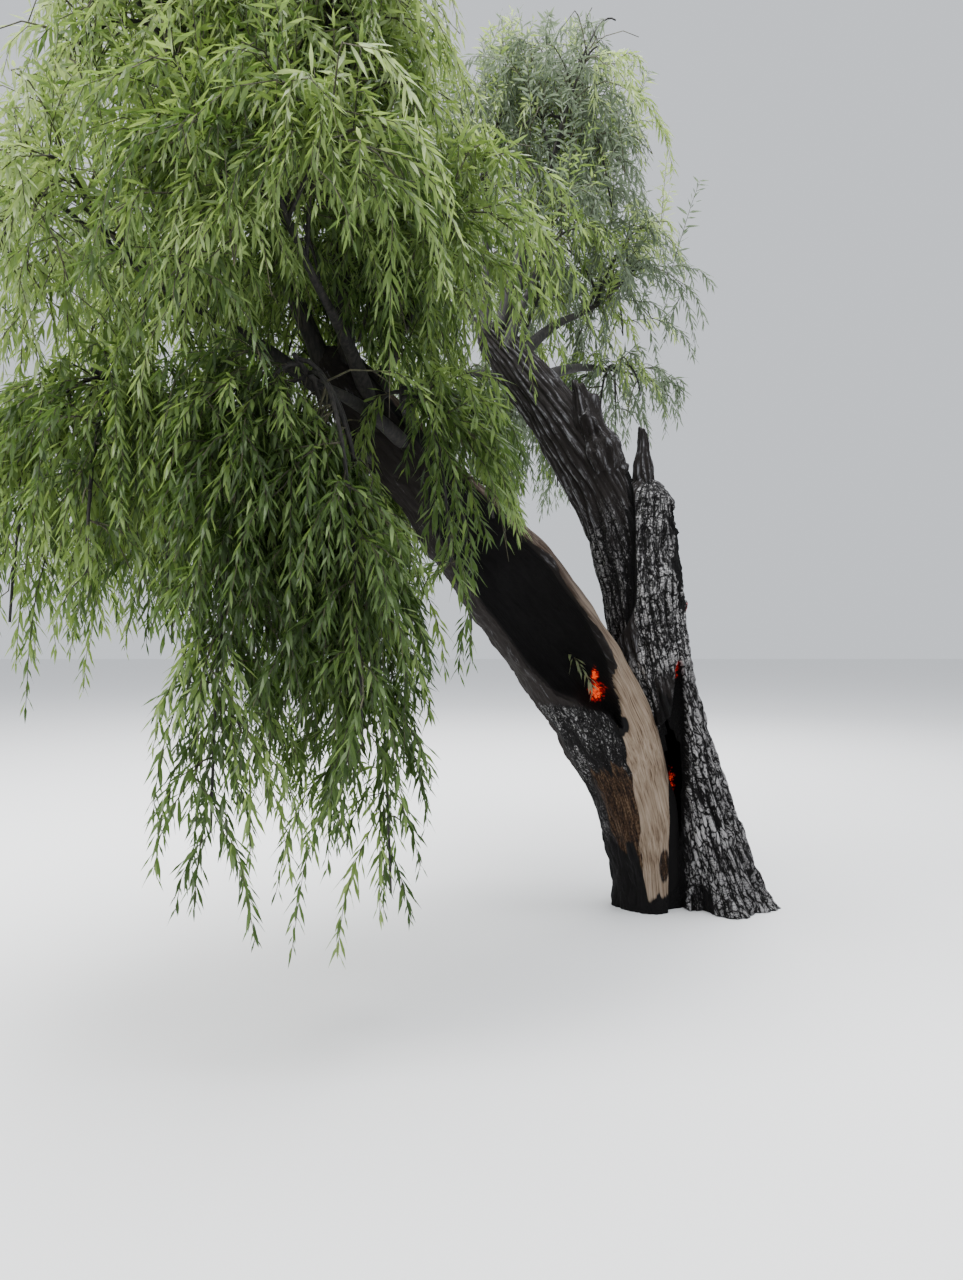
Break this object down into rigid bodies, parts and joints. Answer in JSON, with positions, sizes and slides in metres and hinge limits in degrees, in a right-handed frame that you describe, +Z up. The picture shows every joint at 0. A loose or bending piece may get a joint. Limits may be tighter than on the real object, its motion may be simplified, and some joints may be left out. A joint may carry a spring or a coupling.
{
  "type": "weeping willow tree",
  "caption": "Leaning weeping willow with a fire-hollowed, charred trunk, a broken stem top and drooping green foliage that hangs in curtains.",
  "frame": {"origin": "in the flat cut at ground level, under the foot of the two stems", "axes": "+Z up, -Y to the front, where the hollow opens, and -X the way the heavy bough leans"},
  "size_m": [3.6035, 4.2467, 5.388],
  "materials": {
    "charred_bark": "charred and furrowed bark with ash on its plates, matt",
    "bough_bark": "rough grey-brown bark, matt",
    "foliage": "narrow leaves, matt to satin"
  },
  "bodies": {
    "root": {"trunk": "charred_bark", "left_bough": "charred_bark", "right_stem": "charred_bark", "rear_limb": "charred_bark", "bough_left_curtain_1": "bough_bark", "bough_left_curtain_2": "bough_bark", "bough_left_curtain_3": "bough_bark", "bough_left_curtain_4": "bough_bark", "bough_left_curtain_5": "bough_bark", "bough_left_side_1": "bough_bark", "bough_left_side_2": "bough_bark", "bough_left_side_3": "bough_bark", "bough_left_side_4": "bough_bark", "bough_left_side_5": "bough_bark", "bough_left_top_1": "bough_bark", "bough_left_top_2": "bough_bark", "bough_left_top_3": "bough_bark", "bough_left_top_4": "bough_bark", "bough_rear_low_1": "bough_bark", "bough_rear_low_2": "bough_bark", "bough_rear_low_3": "bough_bark", "bough_rear_side_1": "bough_bark", "bough_rear_side_2": "bough_bark", "bough_rear_side_3": "bough_bark", "bough_rear_side_4": "bough_bark", "bough_rear_top_1": "bough_bark", "bough_rear_top_2": "bough_bark", "bough_rear_top_3": "bough_bark", "foliage_left_curtain_1": "foliage", "foliage_left_curtain_2": "foliage", "foliage_left_curtain_3": "foliage", "foliage_left_curtain_4": "foliage", "foliage_left_curtain_5": "foliage", "foliage_left_side_1": "foliage", "foliage_left_side_2": "foliage", "foliage_left_side_3": "foliage", "foliage_left_side_4": "foliage", "foliage_left_side_5": "foliage", "foliage_left_top_1": "foliage", "foliage_left_top_2": "foliage", "foliage_left_top_3": "foliage", "foliage_left_top_4": "foliage", "foliage_rear_low_1": "foliage", "foliage_rear_low_2": "foliage", "foliage_rear_low_3": "foliage", "foliage_rear_side_1": "foliage", "foliage_rear_side_2": "foliage", "foliage_rear_side_3": "foliage", "foliage_rear_side_4": "foliage", "foliage_rear_top_1": "foliage", "foliage_rear_top_2": "foliage", "foliage_rear_top_3": "foliage"}
  },
  "joints": []
}
